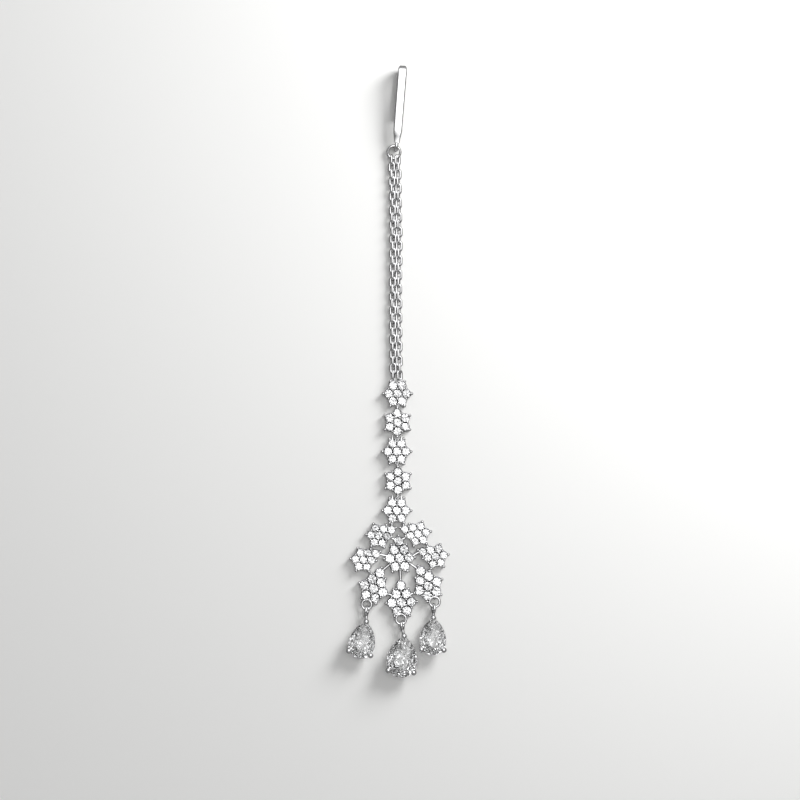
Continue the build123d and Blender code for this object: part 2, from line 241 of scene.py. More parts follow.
class TikkaLinks(PropertyGroup):
    wire: length_property("Wire", "Thickness of the small eyes and loops", 0.26)
    height: length_property("Height", "Height of the small eyes' and loops' middles", 0.90)
    eye_at: length_property("Eye place", "Flower's middle to the middle of its end eye", 2.62)
    eye_radius: length_property("Eye", "Radius of a flower's end eye", 0.34)
    root_at: length_property("Loop root", "Flower's middle to where an end loop leaves a petal", 3.05)
    chain_eye_at: length_property("Chain eye place", "First flower's middle to the chain's eyes", 3.12)
    chain_eye_radius: length_property("Chain eye", "Radius of the eyes that the strands end in", 0.42)
    drop_loop_at: length_property("Drop loop place", "Unit's middle to the middle of its drop loop", 2.83)
    drop_loop_radius: length_property("Drop loop", "Radius of the loops that carry the drops", 0.50)
    drop_loop_wire: length_property("Drop loop wire", "Thickness of the loops that carry the drops", 0.30)
    drop_height: length_property("Drop height", "Height of the drop loops and jump rings", 0.95)
    bar_radius: length_property("Bar", "Radius of the soldered bars", 0.27)
    bar_height: length_property("Bar height", "Height of the soldered bars", 0.80)
    ring_wire: length_property("Ring wire", "Thickness of the jump rings", 0.54)


class TikkaFinish(PropertyGroup):
    silver: colour_property("Silver", "Polished silver", (0.52, 0.52, 0.53))
    worn: colour_property("Worn silver", "Silver where its polish is cloudy", (0.48, 0.48, 0.50))
    # Tarnish and painted shade: the colour that the cups' silver turns towards low between the stones.
    tarnish_and_shade: colour_property("Tarnish", "Silver low between the stones", (0.22, 0.22, 0.24))
    polish: share_property("Polish", "Roughness of the polished silver", 0.03)
    polish_cloud: share_property("Polish cloud", "What cloudiness adds to that roughness", 0.07)
    hairline_depth: length_property("Hairline depth", "Depth of the hairlines in the polish", 0.02)
    dull: share_property("Dull", "Roughness of the silver between the stones", 0.14)
    dull_low: share_property("Dull low", "What lying low adds to that roughness", 0.2)
    dull_cloud: share_property("Dull cloud", "What cloudiness adds to that roughness", 0.1)
    pit_depth: length_property("Pit depth", "Depth of the unevenness between the stones", 0.03)
    stone: colour_property("Stone", "Body colour of the stones", (0.99, 0.993, 1.0))
    cloudy: colour_property("Cloudy stone", "Body colour of the stones where they cloud", (0.90, 0.92, 0.95))
    floor: colour_property("Floor", "Pale floor", (0.86, 0.86, 0.85))
    floor_shade: colour_property("Floor shade", "Pale floor where it is darker", (0.80, 0.80, 0.79))
    floor_rough: share_property("Floor rough", "Roughness of the floor", 0.45)


class TikkaStudio(PropertyGroup):
    view_width: length_property("View width", "Width of the floor that the camera takes in", 184.0)
    camera_height: length_property("Camera height", "Camera above the floor", 450.0)
    floor_radius: length_property("Floor radius", "Radius of the floor", 4000.0)
    key_at: FloatVectorProperty(name="Key place", description="Place of the key light", size=3,
                                default=(0.21, 0.19, 0.155), unit="LENGTH", subtype="TRANSLATION")
    key_size: length_property("Key size", "Diameter of the key light", 170.0)
    key_power: FloatProperty(name="Key", description="Power of the key light", default=1.38, unit="POWER")
    sky: FloatProperty(name="Sky", description="Brightness of the panel overhead", default=2.2)
    panel_heading: angle_property("Panel heading", "Direction of the bright panel overhead", 45.0)
    panel_rise: angle_property("Panel rise", "Height of the bright panel's middle above the horizon", 77.0)
    panel_reach: angle_property("Panel reach", "Half the angle that the bright panel fills", 22.0)
    card_heading: angle_property("Card heading", "Direction of the card that only metal mirrors", 75.0)
    card_rise: angle_property("Card rise", "Height of the card's middle above the horizon", 50.0)
    card_reach: angle_property("Card reach", "Half the angle that the card fills", 34.0)
    card: share_property("Card", "Brightness of the card, as a share of the panel", 0.9)
    horizon: share_property("Horizon", "Brightness at the horizon, as a share of the panel", 0.20)
    wall: share_property("Wall", "Brightness above the horizon, as a share of the panel", 0.07)
    patch_scale: FloatProperty(name="Patch scale", description="Fineness of the patches that stones see",
                               default=7.0)
    patches: share_property("Patches", "Brightness of the patches, as a share of the panel", 0.52)
    floor_hidden: share_property("Floor hidden", "How much of the floor mirrored light loses", 0.85)


GROUPS = {
    "tikka_hook": TikkaHook,
    "tikka_chain": TikkaChain,
    "tikka_stones": TikkaStones,
    "tikka_settings": TikkaSettings,
    "tikka_links": TikkaLinks,
    "tikka_finish": TikkaFinish,
    "tikka_studio": TikkaStudio,
}


# --- shader writing ---

class Wire:
    """An output socket whose arithmetic adds Math nodes."""

    def __init__(self, paint, socket):
        self.paint = paint
        self.socket = socket

    def math(self, operation, first, second, clamp=False):
        made = self.paint.node(
            "ShaderNodeMath", {"operation": operation, "use_clamp": clamp}, {0: first, 1: second})
        return made["Value"]

    def __add__(self, other):
        return self.math("ADD", self, other)

    def __radd__(self, other):
        return self.math("ADD", other, self)

    def __sub__(self, other):
        return self.math("SUBTRACT", self, other)

    def __rsub__(self, other):
        return self.math("SUBTRACT", other, self)

    def __mul__(self, other):
        return self.math("MULTIPLY", self, other)

    def __rmul__(self, other):
        return self.math("MULTIPLY", other, self)

    def __truediv__(self, other):
        return self.math("DIVIDE", self, other)

    def __rtruediv__(self, other):
        return self.math("DIVIDE", other, self)

    def clamped(self):
        return self.math("MULTIPLY", self, 1.0, clamp=True)


class Paint:
    """A node tree being written. Its node method adds any node."""

    def __init__(self, tree):
        self.tree = tree
        tree.nodes.clear()

    def node(self, kind, settings=None, sockets=None):
        """Adds a node: its settings first, then the values or links of its sockets. Gives its outputs."""
        made = self.tree.nodes.new(kind)
        for key, value in (settings or {}).items():
            if key == "stops":
                ramp = made.color_ramp
                while len(ramp.elements) < len(value):
                    ramp.elements.new(1.0)
                for element, (position, grey) in zip(ramp.elements, value):
                    element.position = position
                    element.color = (grey, grey, grey, 1.0)
            else:
                setattr(made, key, value)
        for key, value in (sockets or {}).items():
            if isinstance(value, Wire):
                self.tree.links.new(value.socket, made.inputs[key])
            else:
                made.inputs[key].default_value = value
        return {socket.name: Wire(self, socket) for socket in made.outputs if socket.enabled}

    def noise(self, scale, detail):
        """Noise on object coordinates, finer along the axes whose scale is larger."""
        where = self.node("ShaderNodeTexCoord")["Object"]
        scaled = self.node("ShaderNodeMapping", {"vector_type": "POINT"}, {"Vector": where, "Scale": scale})
        return self.node("ShaderNodeTexNoise", {"noise_dimensions": "3D"}, {
            "Vector": scaled["Vector"], "Scale": 1.0, "Detail": detail})["Fac"]

    def height(self):
        """Height above the floor."""
        where = self.node("ShaderNodeTexCoord")["Object"]
        return self.node("ShaderNodeSeparateXYZ", None, {"Vector": where})["Z"]

    def ramp(self, value, stops):
        """A value put through stops of position and grey."""
        return self.node("ShaderNodeValToRGB", {"stops": stops}, {"Fac": value})["Color"]

    def mirrored(self):
        """One for a ray that polished metal has mirrored, nought for one that has come through a stone."""
        path = self.node("ShaderNodeLightPath")
        return path["Is Glossy Ray"] * (1.0 - path["Is Transmission Ray"])

    def mix(self, share, first, second):
        """Two colours mixed by a share."""
        first, second = (value if isinstance(value, Wire) else (*value, 1.0) for value in (first, second))
        return self.node("ShaderNodeMix", {"data_type": "RGBA"}, {0: share, 6: first, 7: second})["Result"]

    def clouded(self, noise, level, strength, clear, cloudy):
        """A colour that turns towards a cloudy one where noise is above a level."""
        return self.mix((noise - level).clamped() * strength, clear, cloudy)

    def bump(self, height, strength, distance):
        return self.node("ShaderNodeBump", None, {
            "Strength": strength, "Distance": distance, "Height": height})["Normal"]


def polished_silver(paint):
    """Polished silver with hairlines and a faint cloudiness."""
    finish = bpy.context.scene.tikka_finish
    cloud = paint.noise(scale=(900, 900, 900), detail=4.0)
    hairline = paint.noise(scale=(9000, 1400, 9000), detail=2.0)
    uneven = hairline * 0.6 + cloud * 0.4
    return {
        "Base Color": paint.clouded(cloud, 0.45, 0.5, finish.silver, finish.worn),
        "Metallic": 1.0,
        "Roughness": finish.polish + cloud * finish.polish_cloud,
        "Normal": paint.bump(uneven, strength=0.12, distance=finish.hairline_depth),
    }


def recessed_silver(paint):
    """Silver of the cups between the stones, which polishing doesn't reach: duller, and darker with tarnish
    and painted shade, lower down.
    """
    finish = bpy.context.scene.tikka_finish
    cloud = paint.noise(scale=(1500, 1500, 1500), detail=4.0)
    low = (SHADE_TOP - paint.height() / bpy.context.scene.tikka_settings.plate).clamped()
    # Painted shade and tarnish, stronger lower in the cups, with a little random cloud.
    tarnish_and_shade_share = low * 0.7 + cloud * 0.3
    return {
        "Base Color": paint.mix(tarnish_and_shade_share, finish.silver, finish.tarnish_and_shade),
        "Metallic": 1.0,
        "Roughness": finish.dull + low * finish.dull_low + cloud * finish.dull_cloud,
        "Normal": paint.bump(cloud, strength=0.25, distance=finish.pit_depth),
    }


def cut_stone(paint, clarity):
    """Clear cut stone with a little cloud in its body."""
    finish = bpy.context.scene.tikka_finish
    cloud = paint.noise(scale=(500, 500, 500), detail=2.0)
    return {
        "Base Color": paint.clouded(cloud, 0.4, 0.4, finish.stone, finish.cloudy),
        "Roughness": 0.0,
        "IOR": bpy.context.scene.tikka_stones.ior,
        "Transmission Weight": clarity,
    }


def round_stone(paint):
    return cut_stone(paint, bpy.context.scene.tikka_stones.round_clarity)


def pear_stone(paint):
    """A pear's many small facets cloud it slightly."""
    return cut_stone(paint, bpy.context.scene.tikka_stones.pear_clarity)


def pale_floor(paint):
    """Pale matt floor, which polished metal mirrors much darker than it is."""
    finish = bpy.context.scene.tikka_finish
    cloud = paint.noise(scale=(12, 12, 12), detail=2.0)
    seen = 1.0 - paint.mirrored() * bpy.context.scene.tikka_studio.floor_hidden
    colour = paint.mix(cloud * 0.12, finish.floor, finish.floor_shade)
    return {"Base Color": paint.mix(seen, (0.0, 0.0, 0.0), colour), "Roughness": finish.floor_rough}


# Each finish's writer, and the slot that its pieces fill.
FINISHES = {
    "polished_silver": (polished_silver, "polished_silver"),
    "recessed_silver": (recessed_silver, "polished_silver"),
    "round_stone": (round_stone, "clear_stone"),
    "pear_stone": (pear_stone, "clear_stone"),
}


def new_material(name, write):
    """A material whose shader's sockets a function of its node tree gives."""
    material = bpy.data.materials.new(name)
    material.use_nodes = True
    paint = Paint(material.node_tree)
    shader = paint.node("ShaderNodeBsdfPrincipled", None, write(paint))["BSDF"]
    paint.node("ShaderNodeOutputMaterial", None, {"Surface": shader})
    return material


# --- shaping ---

def across(centre, distance, angle):
    """The point at a distance and an angle in degrees from a centre, in plan."""
    return (centre[0] + distance * cos(radians(angle)), centre[1] + distance * sin(radians(angle)))


def heading(angle, rise=0.0):
    """The unit vector in a direction in degrees in plan, at a rise in radians above it."""
    return Vector((*across((0, 0), cos(rise), angle), sin(rise)))


def spot(place, height=0.0):
    """A point in plan in millimetres, at a height in metres, in metres."""
    return Vector((place[0] * MM, place[1] * MM, height))


def facing(direction):
    """A turn that takes +Z to a direction."""
    return Vector(direction).to_track_quat("Z", "Y").to_matrix().to_4x4()


def edges_of(geometry):
    return [item for item in geometry if isinstance(item, bmesh.types.BMEdge)]


def spun(bm, geometry, centre, axis, angle, steps, closed=False):
    """Spins geometry round an axis and gives what it made last."""
    made = bmesh.ops.spin(bm, geom=geometry, cent=centre, axis=axis, dvec=(0.0, 0.0, 0.0), angle=angle,
                          steps=steps, use_merge=closed, use_normal_flip=False, use_duplicate=False)
    return made["geom_last"]


def drawn(bm, edges, move):
    """Draws edges out along a move. Gives the new edges and their vertices."""
    made = bmesh.ops.extrude_edge_only(bm, edges=edges)["geom"]
    verts = [item for item in made if isinstance(item, bmesh.types.BMVert)]
    bmesh.ops.translate(bm, vec=move, verts=verts)
    return edges_of(made), verts


def round_section(bm, radius, sides, matrix):
    """A circle of wire section, with its edges."""
    verts = bmesh.ops.create_circle(bm, cap_ends=False, segments=sides, radius=radius, matrix=matrix)["verts"]
    return verts + list(dict.fromkeys(edge for vert in verts for edge in vert.link_edges))


def ring(bm, place, radius, wire, axle=UP, steps=32, sides=12):
    """A closed ring of round wire about an axle."""
    matrix = Matrix.Translation(place) @ facing(axle)
    section = matrix @ Matrix.Translation((radius, 0, 0)) @ Matrix.Rotation(pi / 2, 4, "X")
    geometry = round_section(bm, wire / 2, sides, section)
    spun(bm, geometry, matrix.translation, matrix.to_3x3() @ UP, 2 * pi, steps, closed=True)


def turned(bm, profile, steps, closed=True):
    """A shape turned on a lathe from a profile of radius and height."""
    verts = [bm.verts.new((radius, 0, height)) for radius, height in profile]
    ends = verts[1:] + verts[:1] if closed else verts[1:]
    edges = [bm.edges.new(pair) for pair in zip(verts, ends)]
    spun(bm, verts + edges, (0, 0, 0), UP, 2 * pi, steps, closed=True)


def rod(bm, start, end, radius, end_radius=None):
    """A round rod between two points, tapered where its end has a radius of its own."""
    run = end - start
    bmesh.ops.create_cone(bm, cap_ends=True, cap_tris=False, segments=12, radius1=radius,
                          radius2=radius if end_radius is None else end_radius, depth=run.length,
                          matrix=Matrix.Translation((start + end) / 2) @ facing(run))


def ball(bm, place, radius, segments=12, rings=8):
    bmesh.ops.create_uvsphere(bm, u_segments=segments, v_segments=rings, radius=radius,
                              matrix=Matrix.Translation(place))


def stamp(bm, mesh, matrix):
    """Adds a copy of a mesh at a place."""
    count = len(bm.verts)
    bm.from_mesh(mesh)
    bm.verts.ensure_lookup_table()
    bmesh.ops.transform(bm, matrix=matrix, verts=bm.verts[count:])


def stamp_all(bm, mesh, places):
    """Adds a copy of a mesh at each of some places on the floor."""
    for place in places:
        stamp(bm, mesh, Matrix.Translation(spot(place)))


def as_mesh(bm, name):
    """Makes a mesh of a bmesh, with its faces turned outwards, and frees it."""
    bmesh.ops.recalc_face_normals(bm, faces=bm.faces)
    mesh = bpy.data.meshes.new(name)
    bm.to_mesh(mesh)
    bm.free()
    return mesh


def finished(bm, name, finish, nodes=(), sharp=None):
    """Makes a piece of a bmesh, gives it its finish and sets it in place of its nodes."""
    write, slot = FINISHES[finish]
    mesh = as_mesh(bm, name)
    if sharp is None:
        mesh.shade_flat()
    else:
        mesh.shade_smooth()
        mesh.set_sharp_from_angle(angle=radians(sharp))
    piece = bpy.data.objects.new(name, mesh)
    bpy.context.scene.collection.objects.link(piece)
    mesh.materials.append(bpy.data.materials.get(finish) or new_material(finish, write))
    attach(piece, "root")
    if nodes:
        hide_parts(*nodes)


# --- stones ---

def cut(bm, point, normal):
    """Grinds away what lies on a plane's outer side and closes the cut."""
    geometry = list(bm.verts) + list(bm.edges) + list(bm.faces)
    made = bmesh.ops.bisect_plane(bm, geom=geometry, dist=WELD, plane_co=point, plane_no=normal,
                                  clear_outer=True, clear_inner=False)
    rim = edges_of(made["geom_cut"])
    if rim:
        bmesh.ops.contextual_create(bm, geom=rim)


def lapidary(name, support, size, girdles, crown, pavilion, table, girdle, wander, seed=3):
    """Cuts a stone with its girdle's middle at height 0.

    The support gives the outline's distance from the origin for a direction in degrees. Each facet row is
    a list of directions, a slope, the reach, as a share of the outline, at which it meets the girdle, and
    how far it flattens towards a point. Wander says how unevenly the stone is cut.
    """
    draw = Random(seed)
    bm = bmesh.new()
    bmesh.ops.create_cube(bm, size=6 * size)
    for angle in girdles:
        direction = heading(angle)
        cut(bm, direction * support(angle), direction)
    cut(bm, (0, 0, table * size), UP)
    for side, rows in ((1, crown), (-1, pavilion)):
        for directions, slope, reach, ease in rows:
            for angle in directions:
                stretch = support(angle) / size
                steep = slope * stretch ** -ease * (1 + wander * draw.uniform(-1, 1))
                direction = heading(angle)
                deep = slope * size * (reach - 1) * stretch ** (1 - ease)
                point = direction * support(angle) + UP * side * (girdle / 2 + deep)
                cut(bm, point, (direction * steep + UP * side).normalized())
    bmesh.ops.dissolve_limit(bm, angle_limit=radians(FLAT), verts=list(bm.verts), edges=list(bm.edges))
    return as_mesh(bm, name)


def evenly(count, first=0.0):
    """Directions evenly all round."""
    return [first + 360.0 * k / count for k in range(count)]


def round_brilliant(seed):
    """A round stone of unit radius."""
    mains, halves, stars = evenly(8), evenly(16, 11.25), evenly(8, 22.5)
    crown = [(halves, 0.90, 1.0, 1.0), (mains, 0.687, 1.0196, 1.0), (stars, 0.3925, 1.288, 1.0)]
    pavilion = [(halves, 0.93, 1.0, 1.0), (mains, 0.87, 1.0196, 1.0)]
    return lapidary("round_brilliant", lambda angle: 1.0, 1.0, halves, crown, pavilion,
                    table=0.30, girdle=0.05, wander=0.05, seed=seed)


def pear_support(radius, point):
    """Distance of a pear's outline from its round end's middle, by direction. Its point is towards +Y."""
    side = (radius ** 2 + point ** 2) / (2 * radius)
    shoulder = degrees(acos((side - radius) / side))

    def support(angle):
        angle = (angle + 90) % 360 - 90
        if angle > 90:
            angle = 180 - angle
        if angle < 0:
            return radius
        if angle <= shoulder:
            return side - (side - radius) * cos(radians(angle))
        return point * sin(radians(angle))

    return support


def pear_brilliant(name, width, length):
    """A pear stone with its round end's middle at the origin and its point towards +Y."""
    radius = width / 2
    crown = [(evenly(24, 7.5), 1.0, 1.0, 0.7), (evenly(24), 0.52, 1.03, 1.0),
             (evenly(12, 15), 0.32, 1.22, 1.0)]
    pavilion = [(evenly(32, 5.6), 1.15, 1.0, 0.3), (evenly(32), 0.92, 1.05, 0.3),
                (evenly(24, 7.5), 0.74, 1.17, 0.3), (evenly(16), 0.50, 1.60, 0.3)]
    return lapidary(name, pear_support(radius, length - radius), radius, evenly(40, 4.5), crown, pavilion,
                    table=0.29, girdle=0.04 * radius, wander=0.07)


def crushed(stone):
    """Breaks the facets up into many small ones that lie a little out of true. The table and girdle stay."""
    draw = Random(8)
    bm = bmesh.new()
    bm.from_mesh(stone)
    width = max(vert.co.x for vert in bm.verts) - min(vert.co.x for vert in bm.verts)
    for low, high, size, unevenness in BROKEN_UP:
        break_up(bm, draw, low, high, size * width, unevenness * width)
    return as_mesh(bm, stone.name)


def break_up(bm, draw, low, high, size, unevenness):
    """Breaks up the facets whose normals' upward part lies between two values."""
    def chosen(item):
        return all(low <= face.normal.z <= high for face in item.link_faces)

    def facets():
        return [face for face in bm.faces if low <= face.normal.z <= high]

    bmesh.ops.triangulate(bm, faces=facets())
    for step in range(3):
        long = [edge for edge in bm.edges if edge.calc_length() > size and chosen(edge)]
        bmesh.ops.subdivide_edges(bm, edges=long, cuts=1)
        bmesh.ops.triangulate(bm, faces=facets())
    for vert in bm.verts:
        if chosen(vert):
            vert.co += vert.normal * draw.uniform(-1, 1) * unevenness
    bm.normal_update()


# --- places of the stones, beads and claws ---

def flower_sites(centre, pitch, turn, open_notches=()):
    """Seats, beads and claws of a flower of seven stones. An open notch has no bead."""
    petals = [turn + 60 * k for k in range(6)]
    seats = [centre] + [across(centre, pitch, petal) for petal in petals]
    notches = [petal + 30 for petal in petals]
    beads = [across(centre, pitch / sqrt(3), notch) for notch in notches]
    held = [notch for notch in notches if notch % 360 not in open_notches]
    beads += [across(centre, 2 * pitch / sqrt(3), notch) for notch in held]
    reach = 1.5 * pitch + bpy.context.scene.tikka_settings.claw_gap / MM
    return seats, beads, [across(centre, reach, petal) for petal in petals]


def unit_sites(centre, pitch, point, drops):
    """Seats, beads and claws of a unit: a flower with an eighth stone in one notch."""
    open_notches = [(point + 180) % 360] if drops else []
    seats, beads, claws = flower_sites(centre, pitch, point + 30, open_notches)
    eighth = across(centre, sqrt(3) * pitch, point)
    seats.append(eighth)
    claws.append(across(eighth, 0.5 * pitch + bpy.context.scene.tikka_settings.claw_gap / MM, point))
    beads += [across(eighth, pitch / sqrt(3), point + side) for side in (-120, 120)]
    return seats, beads, claws


def fan_point(x, y):
    """A point in the fan's axes, in the piece's axes."""
    turn = radians(FAN_TURN)
    return (FAN_AT[0] + x * cos(turn) - y * sin(turn), FAN_AT[1] + x * sin(turn) + y * cos(turn))


def flower_ends(number):
    """Each neighbour's middle and the direction to it along the string."""
    y = FLOWERS[number][2]
    neighbours = [FLOWERS[n][1:3] for n in (number - 1, number + 1) if 0 <= n <= TOP]
    return [(other, 90 if other[1] > y else 270) for other in neighbours]


def flower_at(number):
    """Sites and pitch of one flower of the string."""
    name, x, y, turn = FLOWERS[number]
    ends = [end for other, end in flower_ends(number)]
    pitch = bpy.context.scene.tikka_stones.flower_pitch / MM
    return flower_sites((x, y), pitch, turn, ends), pitch


def unit_at(name):
    """Sites and pitch of one unit of the fan, in the piece's axes."""
    x, y, point, size, drops = UNITS[name]
    pitch = getattr(bpy.context.scene.tikka_stones, f"{size}_pitch") / MM
    sites = unit_sites((x, y), pitch, point, drops)
    return [[fan_point(*place) for place in places] for places in sites], pitch


# --- metalwork ---

def make_cup(pitch):
    """An open cup for one stone: a foot, a waist, and a flare up to a thin lip."""
    plate = bpy.context.scene.tikka_settings.plate
    half = pitch * MM / 2
    bm = bmesh.new()
    turned(bm, [(half * out, plate * up) for out, up in CUP], 16)
    return as_mesh(bm, "cup")


def make_post(name, radius, top, steps):
    """A round-headed post: the bead between stones, and the claw that stands outside a petal."""
    bends = [k * pi / 8 for k in range(6)]
    head = [(radius * sin(bend), top - radius + radius * cos(bend)) for bend in bends]
    stem = 0.7 * radius
    shoulder = top - 1.9 * radius
    bm = bmesh.new()
    turned(bm, head + [(stem, shoulder), (stem, 0.0), (0.0, 0.0)], steps, closed=False)
    bmesh.ops.remove_doubles(bm, verts=list(bm.verts), dist=WELD)
    return as_mesh(bm, name)


def cups_of(flowers):
    """The cups of some flowers or units."""
    bm = bmesh.new()
    for sites, pitch in flowers:
        stamp_all(bm, make_cup(pitch), sites[0])
    return bm


def posts_of(flowers):
    """The beads between the stones and the claws at the petals' tips of some flowers or units."""
    settings = bpy.context.scene.tikka_settings
    bm = bmesh.new()
    for (seats, beads, claws), pitch in flowers:
        stamp_all(bm, make_post("bead", settings.bead, settings.bead_height, 9), beads)
        stamp_all(bm, make_post("claw", settings.claw, settings.claw_height, 10), claws)
    return bm


def add_end_links(bm, number):
    """Flat eyes in the notches of one kind of flower, upright loops on the petals of the other."""
    links = bpy.context.scene.tikka_links
    name, x, y, turn = FLOWERS[number]
    for other, end in flower_ends(number):
        if turn:
            start = spot(across((x, y), links.root_at / MM, end), links.height)
            run = spot(across(other, links.eye_at / MM, end + 180), links.height) - start
            ring(bm, start + run / 2, run.length / 2, links.wire, axle=run.cross(UP), steps=20, sides=8)
        else:
            eye = across((x, y), links.eye_at / MM, end)
            ring(bm, spot(eye, links.height), links.eye_radius, links.wire, steps=20, sides=8)
            if end == 90:
                add_points(bm, (x, y))


def add_points(bm, centre):
    """Pointed claws on a flower's two upper petals, reaching up between the petals of its neighbour."""
    pitch = bpy.context.scene.tikka_stones.flower_pitch / MM
    for petal in (60, 120):
        seat = across(centre, pitch, petal)
        ends = [spot(across(seat, end["beyond"], 90), end["height"] * MM) for end in (POINT_ROOT, POINT_TIP)]
        rod(bm, *ends, POINT_ROOT["radius"] * MM, POINT_TIP["radius"] * MM)


def outside_cup(start, end, cups):
    """A bar's start, moved towards its end to where it meets the wall of the cup that it starts in."""
    start, end = Vector(start), Vector(end)
    for place, wall in cups:
        if (start - Vector(place)).length < wall:
            crossings = intersect_line_sphere_2d(end, start, place, wall)
            return min((point for point in crossings if point), key=lambda point: (point - end).length)
    return start


class TIKKA_OT_flowers(Operator):
    """Builds the cups, beads, claws and links of the four linked flowers"""
    bl_idname = "tikka.flowers"
    bl_label = "Flowers"

    def execute(self, context):
        links = context.scene.tikka_links
        for number, (name, x, y, turn) in enumerate(FLOWERS[:TOP]):
            finished(cups_of([flower_at(number)]), f"{name}_cups", "recessed_silver", [name], CAST_EDGE)
            bm = posts_of([flower_at(number)])
            add_end_links(bm, number)
            if number == 0:
                for aside in CHAIN_EYES.values():
                    place = spot((x + aside, y + links.chain_eye_at / MM), links.height)
                    ring(bm, place, links.chain_eye_radius, links.wire, steps=24, sides=8)
            finished(bm, f"{name}_claws", "polished_silver", sharp=CAST_EDGE)
        return {"FINISHED"}


class TIKKA_OT_fan(Operator):
    """Builds the fan's cups, beads, claws, soldered bars and drop loops"""
    bl_idname = "tikka.fan"
    bl_label = "Fan"

    def execute(self, context):
        links = context.scene.tikka_links
        units = [flower_at(TOP)] + [unit_at(name) for name in UNITS]
        finished(cups_of(units), "fan_cups", "recessed_silver", ["fan"], CAST_EDGE)
        finished(posts_of(units), "fan_claws", "polished_silver", sharp=CAST_EDGE)

        bm = bmesh.new()
        add_end_links(bm, TOP)
        cups = [(place, pitch * CUP_WALL) for sites, pitch in units for place in sites[0]]
        bars = [(fan_point(*start), fan_point(*end)) for start, end in BARS]
        for name, seat in TOP_BARS.items():
            sites, pitch = unit_at(name)
            eighth = sites[0][-1]
            bars.append((units[0][0][0][seat], eighth))
        for start, end in bars:
            ends = [outside_cup(start, end, cups), outside_cup(end, start, cups)]
            rod(bm, *(spot(place, links.bar_height) for place in ends), links.bar_radius)
        for x, y, point, size, drops in UNITS.values():
            if drops:
                place = fan_point(*across((x, y), links.drop_loop_at / MM, point + 180))
                ring(bm, spot(place, links.drop_height), links.drop_loop_radius, links.drop_loop_wire,
                     axle=heading(point + FAN_TURN - 90), steps=24, sides=10)
        finished(bm, "fan_bars_and_loops", "polished_silver", sharp=CAST_EDGE)
        return {"FINISHED"}


class TIKKA_OT_round_stones(Operator):
    """Cuts the round stones and sets them in the flowers and the fan"""
    bl_idname = "tikka.round_stones"
    bl_label = "Round stones"

    def execute(self, context):
        stones = context.scene.tikka_stones
        cuts = [round_brilliant(seed) for seed in range(5)]
        draw = Random(11)
        groups = [(FLOWERS[number][0], *flower_at(number)) for number in range(TOP)]
        groups.append(("fan_top", *flower_at(TOP)))
        groups += [(f"fan_{name}", *unit_at(name)) for name in UNITS]
        for name, sites, pitch in groups:
            bm = bmesh.new()
            for place in sites[0]:
                tilt = Vector((draw.gauss(0, 1), draw.gauss(0, 1), 0)) * sin(stones.tilt)
                matrix = Matrix.Translation(spot(place, stones.girdle_height))
                matrix = matrix @ facing(UP + tilt) @ Matrix.Rotation(draw.uniform(0, 2 * pi), 4, "Z")
                stamp(bm, draw.choice(cuts), matrix @ Matrix.Scale(pitch * MM / 2 * stones.share, 4))
            finished(bm, f"{name}_stones", "round_stone")
        return {"FINISHED"}


